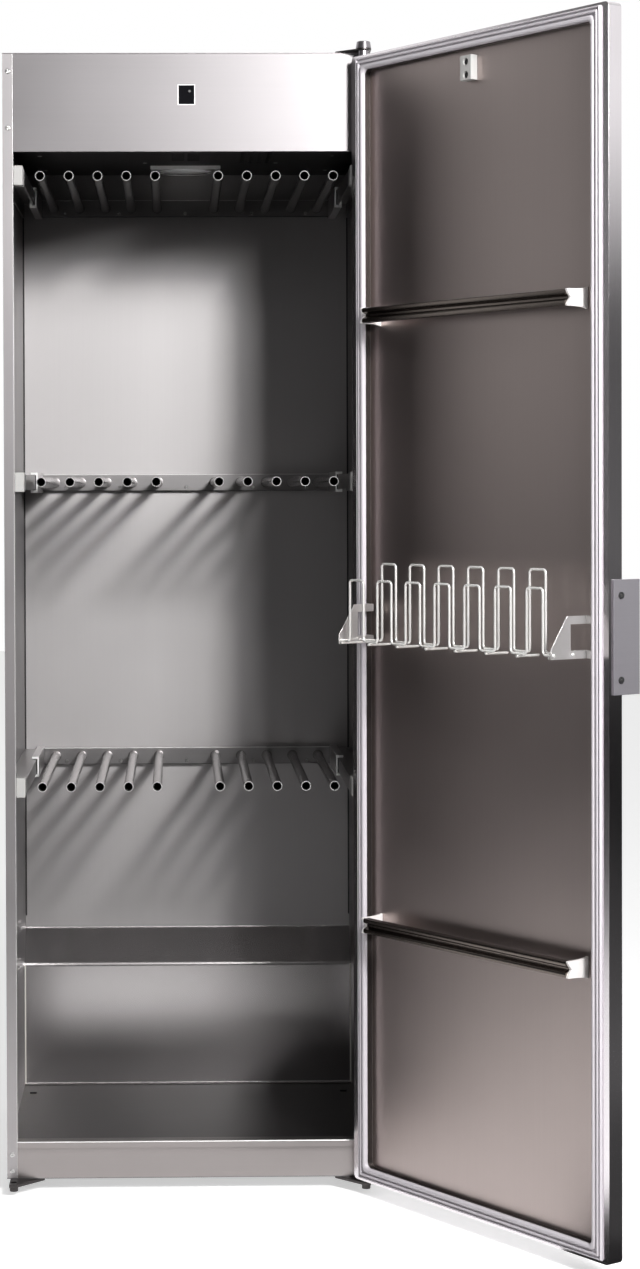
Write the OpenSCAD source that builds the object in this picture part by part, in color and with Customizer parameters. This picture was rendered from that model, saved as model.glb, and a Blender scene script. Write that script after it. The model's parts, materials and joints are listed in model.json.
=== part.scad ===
// Drying cabinet with a side-hung door and three pull-out racks of drying tubes.
// Millimetres, +Z up, front towards -Y. The origin is on the floor, in the
// centre of the body's footprint. "depth" below is measured from the front plane.

/* [Body] */
// Width of the body
body_w = 595; // [560:1:660]
// Depth of the body
body_d = 575; // [540:1:640]
// Height of the body without feet
body_h = 1824; // [1740:1:1960]
// Height of the body above the floor
foot_h = 22; // [20:1:30]
// Thickness of the steel sheets
sheet = 1.2; // [1:0.1:1.5]
// Width of the front stile
stile_w = 17; // [15:0.5:20]
// Depth of the stile's return
stile_return = 22; // [18:0.5:23]
// Height of the machine room over the ceiling
head_h = 132; // [125:1:150]
// How far the fascia hangs below the ceiling
fascia_drop = 27; // [20:1:35]
// Height of the kick panel above the underside
kick_h = 60.5; // [55:0.5:70]
// Height of the floor pan above the underside
floor_h = 39; // [36:0.5:45]
// Depth of the air duct behind the rear lining
duct_d = 28.8; // [24:0.2:40]
// Depth of the duct's foot
duct_foot = 75; // [60:1:90]
// Height of the duct's upright part
duct_h = 219; // [200:1:240]
// Height of the duct's sloping part
duct_rise = 61; // [50:1:70]
// How far the duct's cover runs up behind the lining
duct_lap = 20; // [15:1:25]

/* [Racks] */
// Height of the lowest rack above the underside
rack_low = 633; // [600:1:680]
// Distance of the highest rack from the top
rack_top = 194; // [190:1:220]
// Number of tubes on each side of a rack
tube_n = 5; // [3:1:5]
// Distance of the outermost tube from the wall
tube_side = 57.3; // [54:0.1:80]
// Distance of the first tube from the centre
tube_first = 51.4; // [44:0.1:53]
// Outer diameter of a tube
tube_d = 16; // [12:0.5:18]
// Wall of a tube
tube_wall = 1.5; // [1:0.1:2.5]
// Travel of a rack
rack_travel = 290; // [200:1:290]
// Distance of the rail's outer face from the wall
rail_w = 30.7; // [28:0.1:32]
// Height of the rail's blade
rail_h = 25; // [20:0.5:28]
// Length of a slide
slide_l = 193; // [120:1:193]

/* [Door] */
// How far the door stands open in degrees
door_open = 124; // [0:0.1:170]
// Gap between the door's frame face and the body
door_gap = 6; // [6:0.1:8]
// Thickness of the door
door_t = 25.6; // [24:0.1:30]
// Gap between the door and the underside
door_foot = 2.5; // [2.4:0.1:6]
// Gap between the door and the body's top
door_head = 11; // [10:0.5:20]
// Width of the flat frame round the gasket
frame_w = 14; // [13:0.5:16]
// Width of that frame at the door's head and foot
frame_z = 4; // [3:0.5:14]
// Width from the door's edge to the recess
rim_w = 33; // [30:0.5:38]
// Depth of the recess in the inner panel
recess = 12; // [10:0.5:16]
// Hinge axis from the body's side
hinge_in = 12.5; // [12.5:0.1:14]
// Hinge axis in front of the body
hinge_out = 21; // [21:0.1:22]
// Diameter of the hinge pins
pin_d = 10; // [8:0.5:12]
// Height of the upper towel rail above the floor
towel_high = 1416; // [1350:1:1450]
// Height of the lower towel rail above the floor
towel_low = 445; // [300:1:560]
// Distance of a towel rail's end from the body's side
towel_side = 61.5; // [55:0.5:90]
// Distance of a towel rail from the frame face
towel_out = 23; // [20:0.5:40]
// Height of the wire basket's base above the floor
basket_z = 901; // [860:1:910]
// Distance between neighbouring loops of the basket
loop_pitch = 69.4; // [50:0.1:70]
// Height of the front loops
loop_front = 96; // [60:1:110]
// Height of the rear loops
loop_rear = 121.5; // [80:0.5:130]
// Diameter of the wires
wire_d = 4; // [3:0.1:5]
// Distance of the basket's side plates from the body's side
basket_side = 49.5; // [45:0.5:52]

/* [Fittings] */
// Outer diameter of the exhaust tube
exhaust_d = 100; // [80:1:110]
// Length of the exhaust tube above its collar
exhaust_l = 35; // [25:1:60]
// Distance of the exhaust from the rear face
exhaust_back = 82; // [80:1:100]
// Radius of the fan wheel
fan_r = 55; // [40:1:57]
// Distance of the fan from the centre
fan_x = 121; // [115:1:130]
// Diameter of a foot's pad
pad_d = 34; // [26:1:40]
// Diameter of a foot's stem
stem_d = 10; // [8:0.5:12]
// Width of the control box
control_w = 120; // [90:1:130]
// Depth of the control box
control_d = 140; // [100:1:160]
// Height of the control box
control_h = 60; // [40:1:80]
// Wall of the control box
control_wall = 2; // [1.5:0.1:3]
// Distance of the cable gland from the side
gland_side = 97.5; // [80:0.5:120]
// How far a foot can be screwed out
foot_travel = 12; // [6:1:12]
// Distance of the front feet from the front plane
foot_front = 95; // [88:1:110]
// Distance of the rear feet from the rear face
foot_rear = 42; // [40:1:60]
// Width of the fan housing
fan_box_w = 150; // [146:1:156]
// Depth of the fan housing
fan_box_d = 160; // [150:1:166]
// Distance of the fan from the rear face
fan_back = 280; // [275:1:290]
// Distance of the highest stile screw from the top
screw_head = 29.5; // [25:0.5:35]
// Distance of the next stile screw from the top
screw_high = 121; // [100:1:125]
// Distance of the low stile screw from the underside
screw_low = 38.7; // [30:0.1:50]
// Front face of the rails' end blocks, depth
stop_0 = 24; // [23.5:0.5:30]
// Half distance between the wall bracket's holes
bracket_x = 150; // [100:1:180]
// Diameter of the wall bracket's holes
bracket_hole = 7; // [5:0.5:9]
// Diameter of the start button
button_d = 14; // [10:0.5:20]
// Travel of the start button
button_travel = 1.5; // [1:0.1:2]

/* [Hidden] */
$fn = 64;
slip = 0.05;            // radial clearance of a turning or sliding fit
a = body_w / 2;
t = sheet;
yf = -body_d / 2;
yb = body_d / 2;
top = foot_h + body_h;
wall_x = a - t;         // inner face of a side sheet
ceil_z = top - head_h;
floor_z = foot_h + floor_h;
kick_z = foot_h + kick_h;
fascia_z = ceil_z - fascia_drop;
back_d = body_d - duct_d;   // rear face of the lining
rack_z = [foot_h + rack_low, (foot_h + rack_low + top - rack_top) / 2, top - rack_top];
rail_0 = 55;            // front end of a rail, depth
rail_1 = back_d - 3.2;  // rear end of a rail, depth
blade = 3;
slide_in = rail_w + 4.8;
tube_pitch = (wall_x - tube_side - tube_first) / (tube_n - 1);
bar_x = wall_x - slide_in;
bar_d = rail_1 - 11;    // front face of the crossbar, depth
door_z0 = foot_h + door_foot;
door_z1 = top - door_head;
hx = a - hinge_in;
hy = yf - hinge_out;
df = yf - door_gap;     // frame face of the closed door
pin_r = pin_d / 2;
loop_n = 7;
bx = a - basket_side;    // half distance between the basket's side plates
towel_x = a - towel_side;
ex_r = exhaust_d / 2;
ex_in = ex_r - 1.5;
ex_y = yb - exhaust_back;
ex_z = ceil_z + 5;
fan_y = yb - fan_back;
room_z = ceil_z + t;    // floor of the machine room
foot_x = a - 35.5;
foot_y = [yf + foot_front, yb - foot_rear];
screw_z = [top - screw_head, top - screw_high, foot_h + screw_low, foot_h + 11.8];
stile_x = a - 9;
panel_z = top - 67;     // centre of the window, the contact block and the button
handle_z = 927;

// a block between two corners, with y given as depth behind the front plane
module slab(x, d, z) {
    translate([x[0], yf + d[0], z[0]]) cube([x[1] - x[0], d[1] - d[0], z[1] - z[0]]);
}

// a block on the closed door: v is the distance outwards from the frame face
module dslab(x, v, z) {
    translate([x[0], df - v[1], z[0]]) cube([x[1] - x[0], v[1] - v[0], z[1] - z[0]]);
}

// an outline in x and z, extruded towards the front from depth d1 to d0
module along_y(d0, d1) {
    translate([0, yf + d1, 0]) rotate([90, 0, 0]) linear_extrude(d1 - d0) children();
}

// an outline in y and z, extruded from x0 to x1
module along_x(x0, x1) {
    translate([x0, 0, 0]) rotate([90, 0, 90]) linear_extrude(x1 - x0) children();
}

// a rounded rectangle as large as the door less an inset
module door_outline(inset, r) {
    w = a - inset;
    v = inset < frame_w ? inset : inset - frame_w + frame_z;
    z0 = door_z0 + v;
    z1 = door_z1 - v;
    translate([-w + r, z0]) square([2 * (w - r), z1 - z0]);
    translate([-w, z0 + r]) square([2 * w, z1 - z0 - 2 * r]);
    for (x = [-w + r, w - r], z = [z0 + r, z1 - r]) translate([x, z]) circle(r);
}

module door_slab(v0, v1, inset, r) {
    translate([0, df - v0, 0]) rotate([90, 0, 0]) linear_extrude(v1 - v0) door_outline(inset, r);
}

module ring(v0, v1, i0, i1, r) {
    translate([0, df - v0, 0]) rotate([90, 0, 0]) linear_extrude(v1 - v0) difference() {
        door_outline(i0, max(r - i0 + frame_w, 1));
        door_outline(i1, r);
    }
}

// turns a piece of the closed door to where the door stands
module swing() {
    translate([hx, hy, 0]) rotate([0, 0, door_open]) translate([-hx, -hy, 0]) children();
}

// ---- cabinet ----

module side_panel_right() {
    color([0.66, 0.64, 0.63]) difference() {
        translate([0, 0, foot_h + t]) linear_extrude(body_h - 2 * t) polygon([
            [a, yf], [a, yb], [a - 16, yb], [a - 16, yb - t], [a - t, yb - t], [a - t, yf + t],
            [a - stile_w + t, yf + t], [a - stile_w + t, yf + stile_return],
            [a - stile_w, yf + stile_return], [a - stile_w, yf]]);
        for (z = screw_z) translate([stile_x, yf - 1, z]) rotate([-90, 0, 0]) cylinder(r = 2 + slip, h = 1 + t + 1);
    }
}

module side_panel_left() mirror([1, 0, 0]) side_panel_right();

module base_pan() {
    color([0.45, 0.45, 0.45]) difference() {
        slab([-a, a], [0, body_d], [foot_h, foot_h + t]);
        for (x = [-foot_x, foot_x], y = foot_y) translate([x, y, foot_h - 1]) cylinder(r = stem_d / 2 + 0.5, h = t + 2);
    }
}

module top_cover() {
    color([0.66, 0.64, 0.63]) difference() {
        union() {
            slab([-a, a], [0, body_d], [top - t, top]);
            slab([-a + t, -a + 2 * t], [stile_return + 1, body_d - 2 * t - 1], [top - t - 12, top - t]);
            slab([a - 2 * t, a - t], [stile_return + 1, body_d - 2 * t - 1], [top - t - 12, top - t]);
        }
        translate([0, ex_y, top - t - 1]) cylinder(r = ex_r - 0.5 + slip, h = t + 2);
        for (x = [-226, 226]) translate([x, yf + 12, top - t - 1]) cylinder(r = 2 + slip, h = t + 2);
    }
}

module back_panel() {
    color([0.45, 0.45, 0.45]) difference() {
        slab([-wall_x, wall_x], [body_d - 2 * t, body_d - t], [foot_h + t, top - t]);
        translate([-a + gland_side, yb - 2 * t - 1, top - 56]) rotate([-90, 0, 0]) cylinder(r = 9 + slip, h = t + 2);
        for (i = [0:4]) slab([-120, -60], [body_d - 2 * t - 1, body_d], [top - 90 + 14 * i, top - 85 + 14 * i]);
    }
}

module fascia_panel() {
    color([0.7, 0.68, 0.67]) difference() {
        union() {
            slab([-a + stile_w, a - stile_w], [0, t], [fascia_z, top - t]);
            slab([-a + stile_w, a - stile_w], [0, 8], [fascia_z, fascia_z + t]);
        }
        slab([-12.5, 12.5], [-1, t + 1], [panel_z - 15.5, panel_z + 14.5]);
    }
}

module kick_panel() {
    color([0.66, 0.64, 0.63]) {
        x = a - stile_w;
        along_x(-x, x) polygon([[yf, foot_h + t], [yf + t, foot_h + t], [yf + t, kick_z - t],
            [yf + 26 - t, kick_z - t], [yf + 26 - t, floor_z], [yf + 26, floor_z], [yf + 26, kick_z],
            [yf, kick_z]]);
    }
}

module floor_pan() {
    color([0.5, 0.5, 0.5]) difference() {
        slab([-wall_x, wall_x], [stile_return, body_d - 2 * t], [floor_z - t, floor_z]);
        for (x = [-a + 19.5, a - 19.5]) slab([x - 6, x + 6], [body_d - 146, body_d - 132], [floor_z - t - 1, floor_z + 1]);
    }
}

module ceiling_panel() {
    color([0.3, 0.3, 0.3]) difference() {
        union() {
            slab([-wall_x, wall_x], [stile_return, back_d], [ceil_z, ceil_z + t]);
            slab([-a + stile_w, a - stile_w], [t, stile_return], [ceil_z, ceil_z + t]);
        }
        for (i = [0:5], s = [-1, 1])
            slab([s * 13.5 - 10.5, s * 13.5 + 10.5], [241 + 16.5 * i, 249 + 16.5 * i], [ceil_z - 1, ceil_z + t + 1]);
        for (i = [0:3], j = [0:9])
            translate([fan_x - 22.5 + 15 * i, fan_y - 67.5 + 15 * j, ceil_z - 1]) cylinder(r = 4.5, h = t + 2, $fn = 32);
        translate([0, ex_y, ceil_z - 1]) cylinder(r = ex_in, h = t + 2);
        for (p = ceiling_screws) translate([p[0], yf + p[1], ceil_z - 1]) cylinder(r = 2 + slip, h = t + 2);
    }
}

ceiling_screws = [[-251, 270], [251, 270], [-251, 470], [251, 470], [-71, 365], [fan_x + 37, body_d - 210], [56, body_d - 164]];

module back_lining() {
    color([0.62, 0.61, 0.6]) slab([-wall_x, wall_x], [back_d - t, back_d], [floor_z + duct_h + duct_rise, ceil_z]);
}

module duct_cover() {
    d = back_d;
    f = body_d - duct_foot;
    z = floor_z;
    z1 = z + duct_h;
    z2 = z1 + duct_rise;
    lead = t / 3;
    color([0.62, 0.61, 0.6]) translate([0, yf, 0]) along_x(-wall_x, wall_x) polygon([
        [d, z2 + duct_lap], [d, z2], [f, z1], [f, z],
        [f + t, z], [f + t, z1 - lead], [d + t, z2 - lead], [d + t, z2 + duct_lap]]);
}

module rail() {
    along_y(rail_0, rail_1) polygon([[0, -16], [2, -16], [2, rail_h / 2 - 3], [rail_w - blade, rail_h / 2 - 3],
        [rail_w - blade, -rail_h / 2], [rail_w, -rail_h / 2], [rail_w, rail_h / 2], [0, rail_h / 2]]);
}

module rails_left() {
    color([0.7, 0.7, 0.7]) for (z = rack_z) translate([-wall_x, 0, z]) rail();
}

module rails_right() {
    color([0.7, 0.7, 0.7]) for (z = rack_z) translate([wall_x, 0, z]) mirror([1, 0, 0]) rail();
}

module rail_stops() {
    color([0.92, 0.92, 0.9]) for (z = rack_z) {
        slab([-wall_x, -wall_x + rail_w - 0.7], [stop_0, rail_0], [z - 16, z + 16]);
        slab([wall_x - rail_w + 0.7, wall_x], [stop_0, rail_0], [z - 16, z + 16]);
    }
}

module plate_bottom(bore) {
    difference() {
        union() {
            translate([0, 0, foot_h - 5]) linear_extrude(5) polygon([[a - 61, yf + 65], [a - 61, yf + 8],
                [hx - 6, hy - 15], [hx + 7, hy - 15], [hx + 7, yf + 65]]);
            translate([hx, hy, foot_h - 14]) cylinder(r = pin_r + 2, h = 10);
        }
        translate([hx, hy, foot_h - 15]) cylinder(r = bore, h = 16);
    }
}

module hinge_plate_bottom() {
    color([0.35, 0.35, 0.35]) plate_bottom(pin_r + slip);
}

module hinge_plate_spare() {
    color([0.35, 0.35, 0.35]) mirror([1, 0, 0]) plate_bottom(pin_r + slip);
}

module hinge_plate_top() {
    color([0.4, 0.4, 0.4]) difference() {
        union() {
            translate([0, 0, top]) linear_extrude(3) polygon([[a - 56, yf + 62], [a - 56, yf + 6],
                [hx - 12, hy], [hx + 12.5, hy], [hx + 12.5, yf + 62]]);
            translate([hx, hy, top]) cylinder(r = 12.5, h = 3);
        }
        translate([hx, hy, top - 1]) cylinder(r = pin_r + slip, h = 5);
    }
}

module hinge_pins() {
    color([0.6, 0.6, 0.6]) {
        translate([hx, hy, foot_h - 14]) cylinder(r = pin_r, h = 38);
        translate([hx, hy, foot_h]) cylinder(r = pin_r + 4, h = door_foot - 0.4);
        translate([hx, hy, top - 35]) cylinder(r = pin_r, h = 38);
        translate([hx, hy, door_z1 + 0.4]) cylinder(r = pin_r + 3, h = door_head - 0.4);
        translate([hx, hy, top + 3]) cylinder(r1 = 12.5, r2 = 10.9, h = 11);
    }
}

module fan_housing() {
    h = 61.8;
    color([0.55, 0.55, 0.55]) difference() {
        translate([fan_x - fan_box_w / 2, fan_y - fan_box_d / 2, room_z]) cube([fan_box_w, fan_box_d, h]);
        translate([fan_x, fan_y, room_z + 2.8]) cylinder(r = 62, h = h - 5.8);
        translate([fan_x, fan_y, room_z - 1]) cylinder(r = 45, h = 5);
        translate([fan_x, fan_y, room_z + 2.8]) cube([62, 81, h - 5.8]);
        translate([fan_x, fan_y, room_z + h - 4]) cylinder(r = 6, h = 5);
        translate([fan_x + 37, fan_y + 70, room_z - 1]) cylinder(r = 2 + slip, h = 5);
    }
}

module fan_motor() {
    color([0.25, 0.25, 0.27]) difference() {
        translate([fan_x, fan_y, room_z + 61.8]) cylinder(r = 36, h = 45);
        translate([fan_x, fan_y, room_z + 60]) cylinder(r = 4 + slip, h = 28);
    }
}

module fan_impeller() {
    color([0.3, 0.3, 0.3]) translate([fan_x, fan_y, room_z + 6.8]) {
        difference() {
            cylinder(r = fan_r, h = 48);
            translate([0, 0, -1]) cylinder(r = fan_r - 12, h = 46);
            for (i = [0:15]) rotate([0, 0, 22.5 * i]) translate([fan_r - 11, -1.5, 4]) cube([12, 13, 38]);
        }
        cylinder(r = 4, h = 76);
    }
}

module heater_box() {
    x = 60;
    d0 = body_d - fan_back + fan_box_d / 2;
    color([0.55, 0.55, 0.55]) difference() {
        slab([fan_x - x, fan_x + x], [d0, body_d - 2 * t], [room_z, room_z + 61.8]);
        slab([fan_x - x + t, fan_x + x - t], [d0 - 1, body_d - 2 * t + 1], [room_z + t, room_z + 61.8 - t]);
        slab([fan_x - x - 1, fan_x + x + 1], [back_d, body_d], [room_z - 1, room_z + t + 1]);
        for (i = [0:2]) translate([fan_x - x - 1, yb - 165 + 30 * i, room_z + 31]) rotate([0, 90, 0]) cylinder(r = 4 + slip, h = 2 * x + 2);
    }
}

module heater_element() {
    color([0.5, 0.42, 0.38]) for (i = [0:2])
        translate([fan_x - 72, yb - 165 + 30 * i, room_z + 31]) rotate([0, 90, 0]) cylinder(r = 4, h = 144);
}

module control_box() {
    x = -a + 87.5;
    y = 120;
    w = control_wall;
    color([0.3, 0.3, 0.32]) difference() {
        slab([x, x + control_w], [y, y + control_d], [room_z, room_z + control_h]);
        slab([x + w, x + control_w - w], [y + w, y + control_d - w], [room_z - 1, room_z + control_h - w]);
    }
}

module door_sensor() {
    color([0.12, 0.12, 0.12]) slab([-16, 16], [t, 25], [panel_z - 18, panel_z + 17]);
}

module sensor_window() {
    color([0.08, 0.08, 0.09]) slab([-12.4, 12.4], [0, t], [panel_z - 15.4, panel_z + 14.4]);
}

module exhaust_flange() {
    y0 = body_d - 171;
    color([0.6, 0.6, 0.6]) difference() {
        union() {
            slab([-62, 62], [y0, body_d - 31], [ceil_z - t, ceil_z]);
            slab([-62, 62], [y0, y0 + t], [ceil_z - 6, ceil_z]);
        }
        translate([0, ex_y, ceil_z - t - 1]) cylinder(r = ex_in, h = t + 2);
        translate([56, yb - 164, ceil_z - t - 1]) cylinder(r = 2 + slip, h = t + 2);
    }
}

module exhaust_spigot() {
    color([0.7, 0.7, 0.7]) difference() {
        translate([0, ex_y, 0]) rotate_extrude() polygon([[ex_in, room_z], [ex_in + 1, room_z], [ex_in + 1, top],
            [ex_r + 6, top], [ex_r + 6, top + 3], [ex_r, top + 3], [ex_r, top + 3 + exhaust_l], [ex_in, top + 3 + exhaust_l]]);
        translate([-ex_r - 5, ex_y, ex_z]) rotate([0, 90, 0]) cylinder(r = 3 + slip, h = 2 * ex_r + 10);
    }
}

module exhaust_damper() {
    color([0.8, 0.8, 0.8]) translate([0, ex_y, ex_z]) {
        translate([0, 0, -0.75]) cylinder(r = ex_in - 0.35, h = 1.5);
        translate([-ex_r - 5, 0, 0]) rotate([0, 90, 0]) cylinder(r = 3, h = 2 * ex_r + 10);
    }
}

module cable_gland() {
    color([0.1, 0.1, 0.1]) translate([-a + gland_side, yb - t, top - 56]) rotate([-90, 0, 0]) difference() {
        union() {
            translate([0, 0, -12]) cylinder(r = 9, h = 28);
            cylinder(r = 13, h = 8);
        }
        translate([0, 0, -13]) cylinder(r = 4, h = 30);
    }
}

module wall_bracket() {
    color([0.5, 0.5, 0.5]) difference() {
        union() {
            slab([-bracket_x - 40, bracket_x + 40], [body_d - 25, body_d], [top, top + 2]);
            slab([-bracket_x - 40, bracket_x + 40], [body_d - 2, body_d], [top, top + 40]);
        }
        translate([0, ex_y, top - 1]) cylinder(r = ex_r + 6.5, h = 4);
        for (x = [-bracket_x, bracket_x]) translate([x, yb - 3, top + 26]) rotate([-90, 0, 0]) cylinder(d = bracket_hole, h = 4);
    }
}

// a pan-head screw, its head above z = 0
module screw(shank) {
    cylinder(r = 4.2, h = 0.9);
    translate([0, 0, -shank]) cylinder(r = 2, h = shank);
}

module body_screws() {
    color([0.8, 0.8, 0.8]) {
        for (x = [-stile_x, stile_x], z = screw_z) translate([x, yf, z]) rotate([90, 0, 0]) screw(9);
        for (x = [-226, 226]) translate([x, yf + 12, top]) screw(8);
        for (i = [0:4]) translate([ceiling_screws[i][0], yf + ceiling_screws[i][1], ceil_z]) rotate([180, 0, 0]) screw(8);
        translate([ceiling_screws[5][0], yf + ceiling_screws[5][1], ceil_z]) rotate([180, 0, 0]) screw(t + 2.8);
        translate([ceiling_screws[6][0], yf + ceiling_screws[6][1], ceil_z - t]) rotate([180, 0, 0]) screw(8);
    }
}

module foot_sockets() {
    color([0.5, 0.5, 0.5]) for (x = [-foot_x, foot_x], y = foot_y) translate([x, y, foot_h + t]) difference() {
        cylinder(r = stem_d / 2 + 4, h = 13.8);
        translate([0, 0, -1]) cylinder(r = stem_d / 2 + slip, h = 16);
    }
}

module foot(x, y) {
    color([0.12, 0.12, 0.12]) translate([x, y, 0]) {
        cylinder(d = pad_d, h = 8);
        translate([0, 0, 8]) cylinder(d = stem_d, h = 44);
    }
}

module foot_front_left() foot(-foot_x, foot_y[0]);
module foot_front_right() foot(foot_x, foot_y[0]);
module foot_rear_left() foot(-foot_x, foot_y[1]);
module foot_rear_right() foot(foot_x, foot_y[1]);

// ---- racks ----

module bar(z) {
    color([0.62, 0.61, 0.6]) difference() {
        slab([-bar_x, bar_x], [bar_d, rail_1], [z - 15, z + 15]);
        slab([-bar_x - 1, bar_x + 1], [bar_d + 2, rail_1 + 1], [z - 13, z + 13]);
        for (s = [-1, 1], i = [0:tube_n - 1]) translate([s * (tube_first + tube_pitch * i), yf + bar_d - 1, z])
            rotate([-90, 0, 0]) cylinder(r = tube_d / 2 + slip, h = 4);
    }
}

module tubes(z) {
    color([0.75, 0.75, 0.75]) for (s = [-1, 1], i = [0:tube_n - 1])
        translate([s * (tube_first + tube_pitch * i), yf + 34, z]) rotate([-90, 0, 0]) difference() {
            cylinder(d = tube_d, h = bar_d + 2 - 34);
            translate([0, 0, -1]) cylinder(r = tube_d / 2 - tube_wall, h = bar_d + 4 - 34);
        }
}

module slide(z) {
    w0 = rail_w - 7.8;
    translate([-wall_x, 0, z]) along_y(rail_1 - slide_l, rail_1) difference() {
        translate([w0, -18]) square([slide_in - w0, 36]);
        translate([rail_w - blade - 0.5, -rail_h / 2 - 1]) square([blade + 1, rail_h + 2]);
        translate([w0 - 1, rail_h / 2 - 3.5]) square([rail_w - blade - w0 + 1, 4.5]);
    }
}

module slides(z) {
    color([0.78, 0.78, 0.78]) {
        slide(z);
        mirror([1, 0, 0]) slide(z);
    }
}

module rack_top_bar() bar(rack_z[2]);
module rack_top_tubes() tubes(rack_z[2]);
module rack_top_slides() slides(rack_z[2]);
module rack_middle_bar() bar(rack_z[1]);
module rack_middle_tubes() tubes(rack_z[1]);
module rack_middle_slides() slides(rack_z[1]);
module rack_bottom_bar() bar(rack_z[0]);
module rack_bottom_tubes() tubes(rack_z[0]);
module rack_bottom_slides() slides(rack_z[0]);

// ---- door ----

module door_skin() {
    color([0.6, 0.58, 0.6]) swing() difference() {
        door_slab(0, door_t, 0, 8);
        door_slab(t, door_t - t, t, 8 - t);
        door_slab(-1, t + 1, frame_w, 3);
        for (z = [door_z0 - 1, door_z1 - 2]) translate([hx, hy, z]) cylinder(r = pin_r + 1, h = 4);
        translate([50, df - door_t - 1, panel_z]) rotate([-90, 0, 0]) cylinder(r = button_d / 2 + 1, h = 4);
    }
}

module door_panel() {
    color([0.42, 0.4, 0.4]) swing() difference() {
        union() {
            door_slab(t, 2 * t, t + 0.3, 6.5);
            door_slab(t, recess + t, rim_w - t, 11.2);
        }
        door_slab(t - 1, recess, rim_w, 10);
    }
}

module door_gasket() {
    color([0.85, 0.85, 0.86]) swing() {
        ring(-0.3, t, frame_w + slip, rim_w + 1, 10);
        ring(-4, -0.3, frame_w + 1, frame_w + 3, 13);
        ring(-4.8, -0.3, frame_w + 6, frame_w + 9.5, 12);
        ring(-5.4, -0.3, frame_w + 13, rim_w + 1, 10);
    }
}

module door_bushes() {
    color([0.2, 0.2, 0.2]) swing() for (z = [door_z0 + 1.8, door_z1 - 23.5]) difference() {
        dslab([a - 24, hx + pin_r + 2], [2 * t, door_t - t], [z, z + 21.7]);
        translate([hx, hy, z - 1]) cylinder(r = pin_r + slip, h = 25);
    }
}

module towel_rails() {
    h = df + towel_out;
    color([0.35, 0.32, 0.3]) swing() for (z = [towel_low, towel_high]) translate([0, h, z])
        along_x(-towel_x, towel_x) polygon([[-5, -12], [3, -12], [5, -9], [5, -5.5], [-2.8, -1.3], [-2.8, 1.3],
            [5, 5.5], [5, 9], [3, 12], [-5, 12]]);
}

module rail_brackets() {
    color([0.75, 0.75, 0.75]) swing() for (z = [towel_low, towel_high], x = [-towel_x - 6, towel_x])
        translate([0, df, z]) along_x(x, x + 6) polygon([[-recess, -16.3], [0, -13.6], [towel_out + 5, -12.6], [towel_out - 3, 0], [towel_out + 5, 12.6], [0, 13.6], [-recess, 16.3]]);
}

// a row of square loops of wire at distance h from the frame face
module loops(n, h, rise) {
    r = wire_d / 2;
    w = loop_pitch / 4;
    translate([0, df + h, basket_z]) {
        for (k = [0:n - 1]) translate([loop_pitch * (k - (n - 1) / 2), 0, 0]) {
            for (s = [-w, w]) translate([s, 0, -r]) cylinder(r = r, h = rise + 2 * r);
            translate([-w, 0, rise]) rotate([0, 90, 0]) cylinder(r = r - 0.1, h = 2 * w);
        }
        for (k = [0:n - 2]) translate([loop_pitch * (k - n / 2 + 1) - w, 0, 0]) rotate([0, 90, 0]) cylinder(r = r - 0.1, h = 2 * w);
        for (s = [-1, 1]) {
            e = loop_pitch * (n - 1) / 2 + w;
            translate([s > 0 ? e : -bx + 1, 0, 0]) rotate([0, 90, 0]) cylinder(r = r - 0.1, h = bx - 1 - e);
        }
    }
}

module wire_rack() {
    color([0.8, 0.8, 0.8]) swing() {
        loops(loop_n, 61.5, loop_front);
        loops(loop_n - 1, 24.5, loop_rear);
        for (k = [0:loop_n]) translate([loop_pitch * (k - loop_n / 2), df + 22, basket_z - wire_d - 0.1])
            rotate([-90, 0, 0]) cylinder(r = wire_d / 2, h = 44);
    }
}

module rack_brackets() {
    z = basket_z;
    color([0.7, 0.7, 0.72]) swing() for (s = [-1, 1]) {
        difference() {
            translate([0, df, 0]) along_x(s * bx - 1, s * bx + 1) polygon([[-2 - t, z - 6], [66, z - 6], [67, z - 4],
                [67, z + 8], [36, z + 56], [-2 - t, z + 56], [-2 - t, z + 44], [29, z + 44], [29, z + 6], [-2 - t, z + 6]]);
        }
        for (zz = [z - 6, z + 44])
            dslab([s > 0 ? bx + 1 : -a + rim_w, s > 0 ? a - rim_w : -bx - 1], [t, t + 2], [zz, zz + 12]);
    }
}

module contact_block() {
    color([0.15, 0.15, 0.15]) swing() difference() {
        dslab([1.4, 27], [-1, recess], [panel_z - 17, panel_z + 21]);
        for (z = [panel_z - 9, panel_z + 11]) translate([14.2, df + 5, z]) rotate([90, 0, 0]) cylinder(r = 5.5, h = 9);
    }
}

module handle_plate() {
    color([0.75, 0.74, 0.73]) swing() difference() {
        dslab([-a - 3, -a], [7, door_t + 32.4], [handle_z - 83, handle_z + 83]);
        for (z = [handle_z - 61.5, handle_z + 60]) translate([-a - 4, df - 20.5, z]) rotate([0, 90, 0]) cylinder(r = 2.5 + slip, h = 5);
    }
}

module handle_screws() {
    color([0.1, 0.1, 0.1]) swing() for (z = [handle_z - 61.5, handle_z + 60]) translate([-a, df - 20.5, z]) rotate([0, 90, 0]) {
        translate([0, 0, -3]) cylinder(r = 2.5, h = 3);
        translate([0, 0, -5]) cylinder(r = 5, h = 2);
    }
}

module control_panel() {
    color([0.1, 0.1, 0.11]) swing() difference() {
        dslab([-75, 75], [door_t, door_t + 3], [panel_z - 25, panel_z + 25]);
        translate([50, df - door_t - 4, panel_z]) rotate([-90, 0, 0]) cylinder(r = button_d / 2 + slip, h = 6);
    }
}

module start_button() {
    color([0.7, 0.7, 0.7]) swing() translate([50, df - door_t - 5.6, panel_z]) rotate([-90, 0, 0]) cylinder(r = button_d / 2, h = 4.8);
}

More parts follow.
